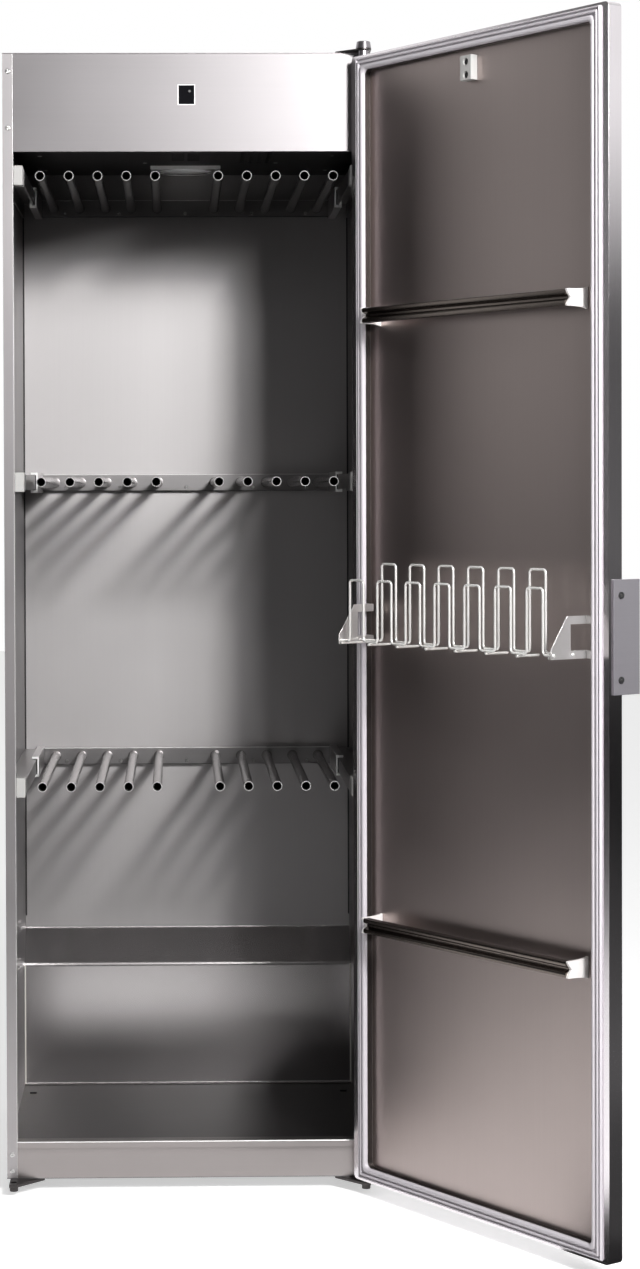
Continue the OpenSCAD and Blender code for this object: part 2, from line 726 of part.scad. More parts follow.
side_panel_left();
side_panel_right();
base_pan();
top_cover();
back_panel();
fascia_panel();
kick_panel();
floor_pan();
ceiling_panel();
back_lining();
duct_cover();
rails_left();
rails_right();
rail_stops();
hinge_plate_bottom();
hinge_plate_spare();
hinge_plate_top();
hinge_pins();
fan_housing();
fan_motor();
heater_box();
heater_element();
control_box();
door_sensor();
sensor_window();
exhaust_flange();
exhaust_spigot();
cable_gland();
wall_bracket();
body_screws();
foot_sockets();
door_skin();
door_panel();
door_gasket();
door_bushes();
towel_rails();
rail_brackets();
wire_rack();
rack_brackets();
contact_block();
handle_plate();
handle_screws();
control_panel();
start_button();
rack_top_bar();
rack_top_tubes();
rack_top_slides();
rack_middle_bar();
rack_middle_tubes();
rack_middle_slides();
rack_bottom_bar();
rack_bottom_tubes();
rack_bottom_slides();
fan_impeller();
exhaust_damper();
foot_front_left();
foot_front_right();
foot_rear_left();
foot_rear_right();
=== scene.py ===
"""Looks of a drying cabinet: rolled steel sheets, drying tubes on pull-out slides, and a door
with its gasket, towel rails and wire basket."""

import json
import math

import bmesh
import bpy
from mathutils import Matrix, Vector


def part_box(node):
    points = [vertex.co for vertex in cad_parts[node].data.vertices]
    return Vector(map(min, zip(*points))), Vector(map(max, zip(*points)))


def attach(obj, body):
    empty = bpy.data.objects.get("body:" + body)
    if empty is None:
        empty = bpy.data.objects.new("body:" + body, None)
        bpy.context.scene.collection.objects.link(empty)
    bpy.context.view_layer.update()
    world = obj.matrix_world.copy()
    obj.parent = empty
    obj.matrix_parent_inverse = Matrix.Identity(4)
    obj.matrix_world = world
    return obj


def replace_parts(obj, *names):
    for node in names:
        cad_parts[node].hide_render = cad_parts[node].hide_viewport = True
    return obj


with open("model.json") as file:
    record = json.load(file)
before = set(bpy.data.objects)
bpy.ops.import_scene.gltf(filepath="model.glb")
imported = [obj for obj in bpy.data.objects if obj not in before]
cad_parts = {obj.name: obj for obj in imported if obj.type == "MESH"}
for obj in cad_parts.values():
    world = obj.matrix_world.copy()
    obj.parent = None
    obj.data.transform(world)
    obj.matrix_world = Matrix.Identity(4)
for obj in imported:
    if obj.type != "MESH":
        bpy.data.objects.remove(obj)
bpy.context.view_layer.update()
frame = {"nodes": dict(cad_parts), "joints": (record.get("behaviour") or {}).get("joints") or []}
nodes = frame["nodes"]

# ---- Camera ----
# Fitted to the photograph's edges of the body, racks and door. The lens is given
# for the picture's long side, and the shift puts the lens axis off the centre.
front_plane = -0.2875
camera_distance = 4.2314
camera_data = bpy.data.cameras.new("camera")
camera_data.lens = 74.11
camera_data.sensor_width = 36.0
camera_data.shift_x = 0.0799
camera_data.shift_y = -0.0818
camera_data.clip_end = 60
camera = bpy.data.objects.new("camera", camera_data)
bpy.context.collection.objects.link(camera)
camera.matrix_world = (
    Matrix.Translation((-0.0222, front_plane - camera_distance, 1.1409))
    @ Matrix.Rotation(math.radians(-0.974), 4, "Z")
    @ Matrix.Rotation(math.radians(89.092), 4, "X")
    @ Matrix.Rotation(math.radians(-0.19), 4, "Z")
)
bpy.context.scene.camera = camera
bpy.context.scene.view_settings.view_transform = "Standard"

# ---- Studio floor and room ----
# A pale floor that runs out to white, and a white room. The camera and the metal see
# both at full strength, while matt surfaces get a weaker light from them.


def new_material(name):
    """A fresh material and its shader's inputs."""
    made = bpy.data.materials.new(name)
    made.use_nodes = True
    return made, made.node_tree.nodes["Principled BSDF"].inputs


def reckoned(tree, operation, one, two):
    """One sum of two levels, each of them a number or another node's output."""
    reckoner = tree.nodes.new("ShaderNodeMath")
    reckoner.operation = operation
    for place, level in zip(reckoner.inputs, (one, two)):
        if isinstance(level, float):
            place.default_value = level
        else:
            tree.links.new(level, place)
    return reckoner.outputs[0]


def between(tree, level, least, most):
    """A level from 0 to 1 spread from the least to the most."""
    span = tree.nodes.new("ShaderNodeMapRange")
    span.inputs["To Min"].default_value = least
    span.inputs["To Max"].default_value = most
    tree.links.new(level, span.inputs["Value"])
    return span.outputs["Result"]


def seen_by(tree, first, *kinds):
    """1 for these kinds of ray, and 0 for all others."""
    rays = tree.nodes.new("ShaderNodeLightPath").outputs
    level = rays[first]
    for kind in kinds:
        level = reckoned(tree, "MAXIMUM", level, rays[kind])
    return level


def stage_sheet(name, material, middle, across, up):
    """A flat sheet of the studio, from its middle and its two half sides."""
    shape = bmesh.new()
    bmesh.ops.create_grid(shape, x_segments=1, y_segments=1, size=1)
    for v in shape.verts:
        v.co = Vector(middle) + Vector(across) * v.co.x + Vector(up) * v.co.y
    mesh = bpy.data.meshes.new(name)
    shape.to_mesh(mesh)
    shape.free()
    mesh.materials.append(material)
    sheet = bpy.data.objects.new(name, mesh)
    bpy.context.collection.objects.link(sheet)
    return sheet


floor_paint, floor_look = new_material("studio_floor")
floor_tree = floor_paint.node_tree
floor_look["Base Color"].default_value = (0.75, 0.75, 0.75, 1)
floor_look["Roughness"].default_value = 0.9
floor_look["Emission Color"].default_value = (1, 1, 1, 1)
floor_seen = seen_by(floor_tree, "Is Camera Ray", "Is Glossy Ray")
floor_tree.links.new(reckoned(floor_tree, "MULTIPLY", floor_seen, 0.5), floor_look["Emission Strength"])
stage_sheet("studio_floor", floor_paint, (0, 0, 0), (14, 0, 0), (0, 14, 0))

room = bpy.data.worlds.new("room")
bpy.context.scene.world = room
room.use_nodes = True
room_tree = room.node_tree
room_look = room_tree.nodes["Background"].inputs
room_look["Color"].default_value = (1, 1, 1, 1)
room_seen = seen_by(room_tree, "Is Camera Ray", "Is Glossy Ray", "Is Transmission Ray")
room_tree.links.new(between(room_tree, room_seen, 0.35, 1.0), room_look["Strength"])

# ---- Lamps ----
# A soft lamp high on the right with a small hot core, which throws the door's and the
# tubes' slanting shades, and a faint wide one on the left.
for lamp_name, power, width, place_at, aim_at in (
    ("key", 142, 1.1, (1.5, -3.6, 2.6), (-0.05, 0.0, 0.95)),
    ("key_core", 100, 0.35, (1.42, -3.6, 2.6), (-0.05, 0.0, 0.95)),
    ("fill", 2, 2.0, (-2.6, -3.4, 1.7), (0.2, 0.0, 1.0)),
):
    lamp = bpy.data.lights.new(lamp_name, "AREA")
    lamp.energy = power
    lamp.size = width
    lamp_object = bpy.data.objects.new(lamp_name, lamp)
    lamp_object.location = place_at
    lamp_object.rotation_mode = "QUATERNION"
    lamp_object.rotation_quaternion = (Vector(aim_at) - Vector(place_at)).to_track_quat("-Z", "Y")
    bpy.context.collection.objects.link(lamp_object)

# ---- Backdrops ----
# Dark studio walls and floor mats that only metal and glass show back. Upright ones
# change from one grey to the next over their height.
ramp_height = 4.0


def backdrop(name, middle, across, up, *levels):
    """A sheet that only metal and glass show, with its (height in metres, grey) levels from the floor up."""
    made, look = new_material(name)
    tree = made.node_tree
    look["Base Color"].default_value = (0, 0, 0, 1)
    look["Specular IOR Level"].default_value = 0
    look["Emission Strength"].default_value = 1
    parts = tree.nodes.new("ShaderNodeSeparateXYZ")
    span = tree.nodes.new("ShaderNodeMapRange")
    span.inputs["From Max"].default_value = ramp_height
    grade = tree.nodes.new("ShaderNodeValToRGB")
    stops = grade.color_ramp.elements
    while len(stops) < len(levels):
        stops.new(0.5)
    for stop, (height, grey) in zip(stops, levels):
        stop.position = height / ramp_height
        stop.color = (grey, grey, grey, 1)
    tree.links.new(tree.nodes.new("ShaderNodeTexCoord").outputs["Object"], parts.inputs[0])
    tree.links.new(parts.outputs["Z"], span.inputs["Value"])
    tree.links.new(span.outputs["Result"], grade.inputs["Fac"])
    tree.links.new(grade.outputs["Color"], look["Emission Color"])
    sheet = stage_sheet(name, made, middle, across, up)
    sheet.visible_camera = False
    sheet.visible_diffuse = False
    sheet.visible_shadow = False


backdrop(
    "backdrop_front", (0, -5.6, 1.9), (5, 0, 0), (0, 0, 1.9),
    (0, 0.02), (2.0, 0.02), (2.7, 0.2), (3.8, 0.5),
)
backdrop(
    "backdrop_right", (1.7, -1.6, 0.95), (0, 1.1, 0), (0, 0, 0.95),
    (0, 0.12), (0.5, 0.005), (0.75, 0.01), (1.0, 0.11), (1.5, 0.08), (1.8, 0.95), (1.9, 1.1),
)
backdrop(
    "backdrop_left", (-2.0, 0.64, 1.5), (0, 0.6, 0), (0, 0, 1.5),
    (0, 0.05), (0.55, 0.05), (0.9, 0.5), (1.3, 1.6), (1.9, 1.6), (2.4, 0.9), (3.0, 0.6),
)
backdrop(
    "backdrop_far", (-3.5, -2.75, 1.9), (1.5, 2.85, 0), (0, 0, 1.9),
    (0, 0.02), (1.6, 0.03), (3.8, 0.1),
)
for mat_name, mat_middle, mat_width, mat_length, grey in (
    ("backdrop_low", (0.8, -3.5, 0.003), 2.8, 2.1, 0.02),
    ("backdrop_near", (1.86, -1.05, 0.0035), 1.74, 0.35, 0.02),
    ("backdrop_beside", (2.2, -0.9, 0.004), 1.4, 1.0, 0.05),
    ("backdrop_top", (0, -3.05, 3.9), 3.2, 2.55, 0.04),
):
    backdrop(mat_name, mat_middle, (mat_width, 0, 0), (0, mat_length, 0), (0, grey), (ramp_height, grey))

# ---- Side sheets, cover, base and back ----
# Stainless sheet, 1.2 mm, folded to a narrow stile at the front. The rolled surface
# has a fine upright grain and faint clouds; folds and cut edges are eased. The eased front
# edges of the stiles carry a painted highlight, and the inner faces of the walls painted shade.
stroke = 0.0012
upright = (stroke, stroke, 0.25)
across_front = (0.25, stroke, stroke)


def display(red, green, blue):
    """The linear colour that is shown as this 8-bit colour."""
    shown = [c / 255 for c in (red, green, blue)]
    return [c / 12.92 if c < 0.04045 else ((c + 0.055) / 1.055) ** 2.4 for c in shown] + [1.0]


def noise(tree, scale, detail=2.0, place=None):
    """Noise of this scale on the piece's own place."""
    made = tree.nodes.new("ShaderNodeTexNoise")
    made.inputs["Scale"].default_value = scale
    made.inputs["Detail"].default_value = detail
    tree.links.new(place or tree.nodes.new("ShaderNodeTexCoord").outputs["Object"], made.inputs["Vector"])
    return made.outputs["Fac"]


def tinted(tree, level, colour, down, up):
    """The colour, darker by one share and lighter by another as the level rises."""
    tone = tree.nodes.new("ShaderNodeMix")
    tone.data_type = "RGBA"
    tone.inputs["A"].default_value = [c * (1 - down) for c in colour[:3]] + [1]
    tone.inputs["B"].default_value = [min(1, c * (1 + up)) for c in colour[:3]] + [1]
    tree.links.new(level, tone.inputs["Factor"])
    return tone.outputs["Result"]


def ridged(tree, level, strength, rise):
    """A surface that this level lifts, by up to the rise in metres."""
    marks = tree.nodes.new("ShaderNodeBump")
    marks.inputs["Strength"].default_value = strength
    marks.inputs["Distance"].default_value = rise
    tree.links.new(level, marks.inputs["Height"])
    return marks.outputs["Normal"]


def sheet_steel(name, colour, rough, grain=upright, turned=0.0, metallic=1.0, depth=0.06):
    """Rolled or brushed metal: grain gives the length of the brush marks along each axis, in metres."""
    made, look = new_material(name)
    tree = made.node_tree
    lay = tree.nodes.new("ShaderNodeMapping")
    lay.vector_type = "TEXTURE"
    lay.inputs["Rotation"].default_value = (0, 0, turned)
    lay.inputs["Scale"].default_value = grain
    tree.links.new(tree.nodes.new("ShaderNodeTexCoord").outputs["Object"], lay.inputs["Vector"])
    brush = noise(tree, 1.0, 3.0, lay.outputs["Vector"])
    brush_share = reckoned(tree, "MULTIPLY", brush, 0.35)
    cloud_share = reckoned(tree, "MULTIPLY", noise(tree, 4.5), 0.65)
    blend = reckoned(tree, "ADD", brush_share, cloud_share)
    look["Metallic"].default_value = metallic
    tree.links.new(tinted(tree, blend, colour, 0.1, 0.1), look["Base Color"])
    tree.links.new(between(tree, blend, rough - 0.06, rough + 0.06), look["Roughness"])
    tree.links.new(ridged(tree, brush, depth, 0.0004), look["Normal"])
    return made


def fit_piece(shape, name, material, slot, body, *stands_for, sharp=35):
    """Makes the piece of a finished bmesh, with its place in its mesh, and sets it on its body."""
    mesh = bpy.data.meshes.new(name)
    shape.to_mesh(mesh)
    shape.free()
    mesh.polygons.foreach_set("use_smooth", [True] * len(mesh.polygons))
    mesh.set_sharp_from_angle(angle=math.radians(sharp))
    mesh.materials.append(material)
    piece = bpy.data.objects.new(name, mesh)
    bpy.context.collection.objects.link(piece)
    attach(piece, body)
    flat = piece.modifiers.new("flat_faces", "WEIGHTED_NORMAL")
    flat.keep_sharp = True
    flat.weight = 100
    if stands_for:
        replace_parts(piece, *stands_for)
    return piece


def round_edges(shape, ease, steps, least=40, clamp=False):
    """Rounds the edges that turn by more than the least angle, in degrees."""
    folds = [e for e in shape.edges if len(e.link_faces) == 2 and e.calc_face_angle(0) > math.radians(least)]
    bmesh.ops.bevel(
        shape, geom=folds, offset=ease, segments=steps,
        profile=0.5, affect="EDGES", material=-1, clamp_overlap=clamp,
    )


def eased_piece(node, ease, name, material, slot, body, steps=2):
    """The node's own solid as a piece, its folds and cut edges rounded by this many millimetres."""
    shape = bmesh.new()
    shape.from_mesh(nodes[node].data)
    bmesh.ops.remove_doubles(shape, verts=shape.verts, dist=2e-5)
    bmesh.ops.dissolve_limit(shape, angle_limit=math.radians(1.5), verts=shape.verts, edges=shape.edges)
    round_edges(shape, ease / 1000, steps)
    return fit_piece(shape, name, material, slot, body, node)


def add_metal(piece, material, chosen):
    """Gives one more metal to the faces that chosen accepts."""
    piece.data.materials.append(material)
    for face in piece.data.polygons:
        if chosen(face):
            face.material_index = len(piece.data.materials) - 1


def paint(material, *names):
    """Gives a material to CAD solids that are shown as they are."""
    for name in names:
        for place in nodes[name].material_slots:
            place.material = material


body_steel = sheet_steel("body_steel", display(172, 168, 169), 0.44)
body_cross = sheet_steel("body_cross", display(186, 180, 181), 0.34, grain=across_front)
back_steel = sheet_steel("back_zinc", display(120, 120, 121), 0.55)
# Near-white paint for the painted highlights on eased folds, lips and cut edges.
painted_edge_highlight = sheet_steel("painted_edge_highlight", display(240, 239, 238), 0.35, metallic=0.35)
# Darker copy of the body steel for the walls' inner faces: painted shade.
inner_wall_shade = sheet_steel("inner_wall_shade", display(112, 110, 110), 0.4)
for side, inward in (("left", 1), ("right", -1)):
    sheet = eased_piece(f"side_panel_{side}", 0.45, f"side_sheet_{side}", body_steel, "body_steel", "cabinet")
    # Painted shade on the walls' large inner faces.
    add_metal(sheet, inner_wall_shade, lambda face: face.normal.x * inward > 0.9 and face.area > 0.05)
    # Painted highlight on the stiles' eased front edges.
    add_metal(sheet, painted_edge_highlight, lambda face: face.normal.y < -0.3 and abs(face.normal.x) > 0.3)
eased_piece("top_cover", 0.4, "cover_sheet", body_cross, "body_steel", "cabinet")
paint(back_steel, "base_pan", "back_panel")

# ---- Fascia with its window ----
# Sheet hung between the stiles, grain running across, with a small black window
# that the door's contact block faces. A thin rim round the window carries a painted highlight.
pane = 0.0008
rim_width = 0.0280
rim_height = 0.0330
faced_front = Matrix.Rotation(math.radians(90), 3, "X")


def smooth(name, colour, rough, shine):
    """Glass or plastic without a grain."""
    made, look = new_material(name)
    look["Base Color"].default_value = (*colour, 1)
    look["Roughness"].default_value = rough
    look["Specular IOR Level"].default_value = shine
    return made


def add_block(whole, size, middle):
    """Adds a box to a shape, in metres."""
    block = bmesh.ops.create_cube(whole, size=1)["verts"]
    bmesh.ops.scale(whole, vec=size, verts=block)
    bmesh.ops.translate(whole, vec=middle, verts=block)


def add_head(whole, foot, top, tall, turn, middle, steps=20):
    """Adds a flat round head to a shape, from its radii and height in metres, turned to face outwards."""
    head = bmesh.ops.create_cone(whole, cap_ends=True, segments=steps, radius1=foot, radius2=top, depth=tall)
    bmesh.ops.rotate(whole, cent=(0, 0, 0), matrix=turn, verts=head["verts"])
    bmesh.ops.translate(whole, vec=middle, verts=head["verts"])


fascia_steel = sheet_steel("fascia_steel", display(132, 129, 130), 0.43, grain=across_front)
eased_piece("fascia_panel", 0.4, "fascia_sheet", fascia_steel, "body_steel", "cabinet")

low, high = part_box("sensor_window")
centre = (low + high) / 2
window_gloss = smooth("window_gloss", (0.004, 0.004, 0.005), 0.15, 0.15)
window = bmesh.new()
add_block(window, (high.x - low.x, pane, high.z - low.z), (centre.x, high.y - pane / 2, centre.z))
window_front = min(window.faces, key=lambda f: f.calc_center_median().y)
bmesh.ops.inset_region(window, faces=[window_front], thickness=0.0022, depth=-0.0003)
fit_piece(window, "window_pane", window_gloss, "window", "cabinet", "sensor_window")

eye_grey = smooth("eye_grey", (0.12, 0.12, 0.12), 0.3, 0.5)
eye = bmesh.new()
add_head(eye, 0.0022, 0.0018, 0.001, faced_front, (0.005, high.y - 0.0009, high.z - 0.009), 24)
fit_piece(eye, "sensor_eye", eye_grey, "window", "cabinet")

rim = bmesh.new()
bmesh.ops.create_grid(rim, x_segments=1, y_segments=1, size=0.5)
bmesh.ops.scale(rim, vec=(rim_width, rim_height, 1), verts=rim.verts)
bmesh.ops.inset_region(rim, faces=rim.faces, thickness=0.0014, use_boundary=True)
opening_face = min(rim.faces, key=lambda f: f.calc_center_median().length)
bmesh.ops.delete(rim, geom=[opening_face], context="FACES")
bmesh.ops.solidify(rim, geom=rim.faces, thickness=0.0004)
bmesh.ops.rotate(rim, cent=(0, 0, 0), matrix=faced_front, verts=rim.verts)
bmesh.ops.translate(rim, vec=(0, low.y - 0.0001, centre.z), verts=rim.verts)
# The window's rim is a painted highlight.
fit_piece(rim, "window_rim", painted_edge_highlight, "body_steel", "cabinet")

# ---- Kick panel, floor, rear lining and duct cover ----
# Sheets folded on a brake, so each bend is a small radius that catches the light.
# The duct cover stands on the floor, leans back and slips behind the lining.
inner_sheet = 1.1


def corners_of(drawn):
    """The corners among what an operator has drawn out."""
    return [v for v in drawn["geom"] if isinstance(v, bmesh.types.BMVert)]


def chain(whole, places):
    """A chain of edges through these places."""
    line = [whole.verts.new(place) for place in places]
    for one, two in zip(line, line[1:]):
        whole.edges.new((one, two))
    return line


def folded_sheet(profile, bend, half):
    """(depth, height) corners in millimetres, bent at each inner one and drawn out over twice this half."""
    shape = bmesh.new()
    line = chain(shape, [(-half / 1000, front_plane + d / 1000, z / 1000) for d, z in profile])
    bmesh.ops.bevel(shape, geom=line[1:-1], offset=bend / 1000, segments=6, profile=0.5, affect="VERTICES")
    drawn = bmesh.ops.extrude_edge_only(shape, edges=shape.edges[:])
    bmesh.ops.translate(shape, vec=(2 * half / 1000, 0, 0), verts=corners_of(drawn))
    bmesh.ops.solidify(shape, geom=shape.faces[:], thickness=inner_sheet / 1000)
    bmesh.ops.recalc_face_normals(shape, faces=shape.faces)
    return shape


kick_steel = sheet_steel("kick_steel", display(155, 149, 148), 0.32, grain=across_front)
lining_steel = sheet_steel("lining_steel", display(172, 169, 169), 0.55, depth=0.02)
duct_steel = sheet_steel("duct_steel", display(196, 192, 192), 0.24, depth=0.02)
floor_steel = sheet_steel("floor_steel", display(100, 98, 98), 0.34, grain=across_front)
kick_fold = folded_sheet([(0.6, 23.2), (0.6, 81.9), (25.4, 81.9), (25.4, 61)], 2.0, 280.4)
kick = fit_piece(kick_fold, "kick_sheet", kick_steel, "body_steel", "cabinet", "kick_panel")
# The kick's eased bends also carry a painted highlight.
add_metal(kick, painted_edge_highlight, lambda face: max(abs(c) for c in face.normal) < 0.95)
duct_fold = folded_sheet([(494, 61.7), (500.8, 61.7), (500.8, 280), (546.4, 340.6), (546.4, 361)], 4.0, 296.2)
fit_piece(duct_fold, "duct_sheet", duct_steel, "inner_steel", "cabinet", "duct_cover")
paint(lining_steel, "back_lining")
paint(floor_steel, "floor_pan")

# ---- Painted lines in the rear corners ----
# Thin strips along the joints to the walls: a dark one beside the lining is painted
# shade, and a pale one beside the duct cover's foot is a painted highlight.


def corner_line_paint(name, colour):
    """Dull paint with a fine grain, for the painted shade and highlight lines."""
    made, look = new_material(name)
    tree = made.node_tree
    look["Base Color"].default_value = colour
    tree.links.new(between(tree, noise(tree, 300.0), 0.4, 0.7), look["Roughness"])
    return made


# The dark strips are painted shade, the pale ones a painted highlight.
for name, colour, depth, foot, top in (
    ("corner_shade_lines", display(20, 19, 19), 545.0, 362, 1690),
    ("foot_seals", display(188, 184, 178), 499.4, 64, 279),
):
    painted_lines = bmesh.new()
    for side in (-1, 1):
        middle = (side * 0.2950, front_plane + depth / 1000, (foot + top) / 2000)
        add_block(painted_lines, (0.0024, 0.0006, (top - foot) / 1000), middle)
    fit_piece(painted_lines, name, corner_line_paint(name, colour), "inner_steel", "cabinet")

# ---- Ceiling with grille, exhaust flange and damper ----
# Dark sheet with a slotted grille and a punched patch, a flange round the exhaust with a
# painted highlight on its front lip and, in it, the damper disc on its spindle. The spout goes out at the
# top.
exhaust_y = 0.2055
round_grain = (0.1, stroke, stroke)
spout_profile = [
    (48.5, 1715.2), (49.5, 1715.2), (49.5, 1846), (55.2, 1846), (56, 1846.8), (56, 1849),
    (50.2, 1849.2), (50, 1858), (50.5, 1860), (50, 1862), (50, 1870), (50.5, 1872), (50, 1874),
    (50, 1883.6), (49.3, 1884), (48.5, 1883.6), (48.5, 1715.2),
]


def turned_shape(profile, steps, along=2):
    """A shape turned from (radius, length) corners in millimetres, about Z or the axis of this number."""
    shape = bmesh.new()
    axis = Vector([float(i == along) for i in range(3)])
    chain(shape, [Vector((r / 1000, 0, 0)) + axis * (length / 1000) for r, length in profile])
    bmesh.ops.spin(
        shape, geom=shape.verts[:] + shape.edges[:], cent=(0, 0, 0), axis=axis,
        angle=math.tau, steps=steps, use_merge=True,
    )
    bmesh.ops.remove_doubles(shape, verts=shape.verts, dist=1e-6)
    bmesh.ops.recalc_face_normals(shape, faces=shape.faces)
    return shape


ceiling_dark = sheet_steel("ceiling_dark", display(84, 83, 83), 0.5)
flange_zinc = sheet_steel("flange_zinc", display(226, 225, 224), 0.35, grain=round_grain)
disc_bright = sheet_steel("disc_bright", display(252, 251, 249), 0.5, grain=round_grain, metallic=0.0)
paint(ceiling_dark, "ceiling_panel")
collar = eased_piece("exhaust_flange", 0.35, "exhaust_collar", flange_zinc, "galvanised", "cabinet")
# Painted highlight on the flange's front lip.
add_metal(collar, painted_edge_highlight, lambda face: face.normal.y < -0.3)
eased_piece("exhaust_damper", 0.4, "damper_disc", disc_bright, "bright_steel", "damper")
spout = turned_shape(spout_profile, 64)
bmesh.ops.translate(spout, vec=(0, exhaust_y, 0), verts=spout.verts)
fit_piece(spout, "exhaust_spout", flange_zinc, "galvanised", "cabinet", "exhaust_spigot")

# ---- Rails, white end blocks and slides ----
# Rolled rails on each wall, closed at the front by a white moulded block. The slide
# is a bright C section with a painted highlight on its front faces; a thin black block
# in its open end is painted shade.
rack_heights = {"bottom": 655, "middle": 1153.5, "top": 1652}
wall_half = 0.2963
block_size = Vector((0.030, 0.031, 0.032))
along_rail = (stroke, 0.2, stroke)


def moulded(name, colour, rough):
    """Moulded plastic or rubber with a faint grain."""
    made, look = new_material(name)
    tree = made.node_tree
    fine = noise(tree, 900.0)
    tree.links.new(tinted(tree, noise(tree, 12.0), colour, 0.06, 0.03), look["Base Color"])
    tree.links.new(between(tree, fine, rough - 0.05, rough + 0.05), look["Roughness"])
    tree.links.new(ridged(tree, fine, 0.08, 0.0002), look["Normal"])
    return made


rail_steel = sheet_steel("rail_steel", display(140, 138, 138), 0.32, grain=along_rail)
block_white = moulded("block_white", display(164, 163, 161), 0.45)
# Near-black for the painted shade in the slides' open ends.
slot_shade_black = moulded("slot_shade_black", display(18, 18, 18), 0.5)
slide_bright = sheet_steel("slide_bright", display(190, 188, 188), 0.3, grain=along_rail)
paint(rail_steel, "rails_left", "rails_right")
blocks = bmesh.new()
for height in rack_heights.values():
    for side in (-1, 1):
        x = side * (wall_half - block_size.x / 2)
        add_block(blocks, block_size, (x, front_plane + 0.0395, height / 1000))
round_edges(blocks, 0.0015, 3)
fit_piece(blocks, "end_blocks", block_white, "white_plastic", "cabinet", "rail_stops")
for level in reversed(rack_heights):
    rack = f"rack_{level}"
    pair = eased_piece(f"{rack}_slides", 0.8, f"slides_{level}", slide_bright, "bright_steel", rack)
    # Painted highlight on the slides' front faces.
    add_metal(pair, painted_edge_highlight, lambda face: face.normal.y < -0.6)
    low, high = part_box(f"{rack}_slides")
    # Painted shade: a thin black block in each slide's open end.
    slot_shades = bmesh.new()
    for side in (-1, 1):
        middle = (side * (high.x - 0.0091), low.y + 0.0004, (low.z + high.z) / 2)
        add_block(slot_shades, (0.0016, 0.0010, 0.026), middle)
    fit_piece(slot_shades, f"slide_slot_shades_{level}", slot_shade_black, "black_plastic", rack)

# ---- Crossbars and drying tubes ----
# A pressed channel runs from slide to slide and holds ten open tubes of drawn
# steel, flared a little where they pass through it, with small screws between them.
# The tubes' mouths carry a painted highlight and their bores painted shade; the channel
# has a painted highlight on its upper bend and painted shade on its underside.
tube_first = 51.4
tube_pitch = 46.9
tube_places = [side * (tube_first + tube_pitch * i) for side in (-1, 1) for i in range(5)]
tube_front = front_plane + 0.034
tube_profile = [
    (6.5, 500), (6.5, 1.2), (6.9, 0.35), (7.3, 0.0), (7.6, 0.2), (8.0, 0.9),
    (8.0, 488), (8.6, 494), (9.4, 497.6), (9.4, 498),
]


def add_shape(whole, shape):
    """Adds a finished shape to one that holds several."""
    part = bpy.data.meshes.new("part")
    shape.to_mesh(part)
    shape.free()
    whole.from_mesh(part)
    bpy.data.meshes.remove(part)


def in_bore(face, height):
    """True on a tube's inner wall, behind its mouth, which carries painted shade."""
    across = min(math.hypot(face.center.x - x / 1000, face.center.z - height / 1000) for x in tube_places)
    return across < 0.0068 and face.center.y - tube_front > 0.0005


def upper_bend(face):
    """True on the crossbar's upper front bend, which carries a painted highlight."""
    normal = face.normal
    return abs(normal.x) < 0.1 and 0.3 < normal.z < 0.95 and normal.y < -0.3


tube_steel = sheet_steel("tube_steel", display(158, 155, 154), 0.2, grain=(stroke, 0.15, stroke), depth=0.02)
# Painted highlight on the tubes' mouths.
painted_mouth_highlight = sheet_steel("painted_mouth_highlight", display(214, 213, 212), 0.35, grain=(0.002,) * 3, metallic=0.25)
# Near-black painted shade for the tubes' bores and the crossbars' undersides.
painted_shade_dark = moulded("painted_shade_dark", display(22, 21, 21), 0.6)
bar_steel = sheet_steel("bar_steel", display(160, 157, 157), 0.34, grain=across_front)
screw_steel = sheet_steel("screw_steel", display(205, 204, 203), 0.28, grain=(0.002,) * 3)
for level, height in rack_heights.items():
    rack = f"rack_{level}"
    tubes = bmesh.new()
    for x in tube_places:
        tube = turned_shape(tube_profile, 28, along=1)
        bmesh.ops.translate(tube, vec=(x / 1000, tube_front, height / 1000), verts=tube.verts)
        add_shape(tubes, tube)
    ten = fit_piece(tubes, f"tubes_{level}", tube_steel, "tube_steel", rack, f"{rack}_tubes", sharp=50)
    # Painted highlight on each tube's mouth.
    add_metal(ten, painted_mouth_highlight, lambda face: face.center.y - tube_front < 0.0010)
    # Painted shade in each tube's bore.
    add_metal(ten, painted_shade_dark, lambda face: in_bore(face, height))
    crossbar = eased_piece(f"{rack}_bar", 0.7, f"crossbar_{level}", bar_steel, "inner_steel", rack)
    # Painted highlight on the crossbar's upper bend.
    add_metal(crossbar, painted_edge_highlight, upper_bend)
    # Painted shade on the crossbar's underside.
    add_metal(crossbar, painted_shade_dark, lambda face: face.normal.z < -0.3)
    heads = bmesh.new()
    for x in (-219, -121, 0, 121, 219):
        middle = (x / 1000, front_plane + 0.5312, (height - 9) / 1000)
        add_head(heads, 0.0032, 0.0022, 0.0016, faced_front, middle)
    fit_piece(heads, f"bar_screws_{level}", screw_steel, "bright_steel", rack)

# ---- Body screws ----
# Pan heads on the stiles, the cover and under the ceiling. The recess is sunk at the
# middle of the head and at four places round it.
screw_radius = 4.1
screw_rise = 0.85
front_y = front_plane * 1000
screws = bmesh.new()


